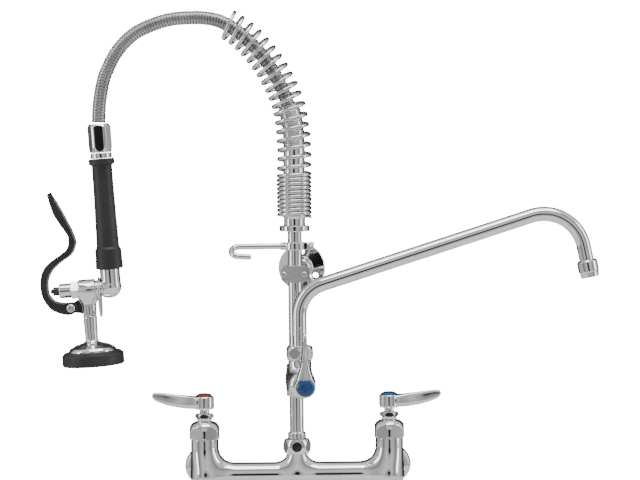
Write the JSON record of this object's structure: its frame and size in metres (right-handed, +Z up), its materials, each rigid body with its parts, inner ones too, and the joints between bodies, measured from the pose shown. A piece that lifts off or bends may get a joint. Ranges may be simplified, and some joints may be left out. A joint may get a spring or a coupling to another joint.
{
  "type": "pre rinse faucet",
  "caption": "Wall-mounted pre-rinse faucet: lever valves on a mixing body, riser with add-on spout, spring-hung metal hose and a squeeze-lever spray gun.",
  "frame": {"origin": "on the wall plane, midway between the two water inlets", "axes": "+X along the wall to the spout side, +Y into the wall, +Z up"},
  "size_m": [0.6091, 0.1974, 0.5316],
  "materials": {
    "chrome": "polished",
    "spring_steel": "polished wire",
    "hose_steel": "interlocked strip, satin",
    "stainless": "satin",
    "black_rubber": "matte",
    "black_plastic": "satin",
    "grey_plastic": "matte",
    "red_plastic": "gloss",
    "blue_plastic": "gloss"
  },
  "bodies": {
    "base": {"mixing_body": "chrome", "left_inlet_union_nut": "chrome", "left_eccentric_connector": "chrome", "left_wall_flange": "chrome", "left_bonnet_nut": "chrome", "left_packing_nut": "chrome", "right_inlet_union_nut": "chrome", "right_eccentric_connector": "chrome", "right_wall_flange": "chrome", "right_bonnet_nut": "chrome", "right_packing_nut": "chrome", "outlet_union_nut": "chrome", "lower_riser": "chrome", "addon_body": "chrome", "addon_bonnet_nut": "chrome", "addon_packing_nut": "chrome", "spout_swivel_nut": "chrome", "upper_riser": "chrome"},
    "left_handle": {"left_lever_handle": "chrome", "left_handle_screw": "stainless", "left_valve_stem": "chrome", "hot_index_button": "red_plastic"},
    "right_handle": {"right_lever_handle": "chrome", "right_handle_screw": "stainless", "right_valve_stem": "chrome", "cold_index_button": "blue_plastic"},
    "addon_handle": {"addon_lever_handle": "chrome", "addon_handle_screw": "stainless", "addon_valve_stem": "chrome", "addon_index_button": "blue_plastic"},
    "spout": {"spout_tube": "chrome", "aerator_housing": "chrome", "aerator_screen": "stainless"},
    "hook": {"finger_hook": "chrome", "hook_screw": "stainless"},
    "bracket": {"bracket_clamp_front": "chrome", "bracket_clamp_rear": "chrome", "bracket_screw_left": "stainless", "bracket_screw_right": "stainless", "bracket_arm": "chrome", "bracket_flange": "chrome"},
    "overhead": {"spring_seat": "chrome", "hose_end_sleeve": "hose_steel", "overhead_spring": "spring_steel", "spring_hose": "hose_steel"},
    "hose_arch": {"free_hose": "hose_steel"},
    "gun": {"hose_coupling_nut": "chrome", "handle_end_ring": "chrome", "handle_grip": "black_rubber", "handle_elbow": "chrome", "spray_valve_body": "chrome", "valve_bonnet": "chrome", "spray_head": "chrome", "rubber_bumper": "black_rubber", "spray_face": "grey_plastic"},
    "lever": {"squeeze_lever": "black_plastic", "lever_pivot_screw": "stainless"},
    "plunger_rod": {"plunger": "black_plastic"},
    "hold_ring": {"hold_down_ring": "stainless"}
  },
  "joints": [
    {"name": "left_handle_turn", "type": "hinge", "parent": "base", "child": "left_handle", "pos_m": [-0.1016, -0.08, 0.08], "axis": [0, 0, 1], "range_deg": [0, 90]},
    {"name": "right_handle_turn", "type": "hinge", "parent": "base", "child": "right_handle", "pos_m": [0.1016, -0.08, 0.08], "axis": [0, 0, 1], "range_deg": [-90, 0]},
    {"name": "addon_handle_turn", "type": "hinge", "parent": "base", "child": "addon_handle", "pos_m": [0.00941, -0.16951, 0.104], "axis": [0.1045, -0.9945, 0], "range_deg": [0, 90]},
    {"name": "spout_swivel", "type": "hinge", "parent": "base", "child": "spout", "pos_m": [0.00439, -0.12177, 0.137], "axis": [0, 0, 1], "range_deg": [-165, 15]},
    {"name": "hook_swivel", "type": "hinge", "parent": "base", "child": "hook", "pos_m": [0, -0.08, 0.2507], "axis": [0, 0, 1], "range_deg": [-30, 30]},
    {"name": "bracket_swivel", "type": "hinge", "parent": "base", "child": "bracket", "pos_m": [0, -0.08, 0.2202], "axis": [0, 0, 1], "range_deg": [-4, 10]},
    {"name": "overhead_swing", "type": "hinge", "parent": "base", "child": "overhead", "pos_m": [0, -0.08, 0.27], "axis": [0, 0, 1], "range_deg": [-8, 120]},
    {"name": "spring_bend", "type": "hinge", "parent": "overhead", "child": "hose_arch", "pos_m": [-0.0097, -0.08, 0.418], "axis": [0, 1, 0], "range_deg": [-8, 6], "stiffness_Nm_per_rad": 25, "springref_deg": 3.52, "deforming": ["overhead_spring", "spring_hose", "hose_end_sleeve"]},
    {"name": "hose_flex", "type": "hinge", "parent": "hose_arch", "child": "gun", "pos_m": [-0.2092, -0.08, 0.43], "axis": [0, 1, 0], "range_deg": [-12, 12], "stiffness_Nm_per_rad": 6, "springref_deg": 0.42, "deforming": ["free_hose"]},
    {"name": "lever_squeeze", "type": "hinge", "parent": "gun", "child": "lever", "pos_m": [-0.24639, -0.08, 0.1853], "axis": [0, 1, 0], "range_deg": [0, 14], "stiffness_Nm_per_rad": 2, "springref_deg": -11.46},
    {"name": "plunger_slide", "type": "slide", "parent": "gun", "child": "plunger_rod", "axis": [0.9981, 0, 0.061], "range_m": [0, 0.0053]},
    {"name": "hold_ring_swing", "type": "hinge", "parent": "gun", "child": "hold_ring", "pos_m": [-0.21513, -0.08, 0.20655], "axis": [0.9981, 0, 0.061], "range_deg": [-50, 50]}
  ],
  "couplings": [
    {"joint": "plunger_slide", "follows": "lever_squeeze", "m_per_rad": 0.021}
  ]
}
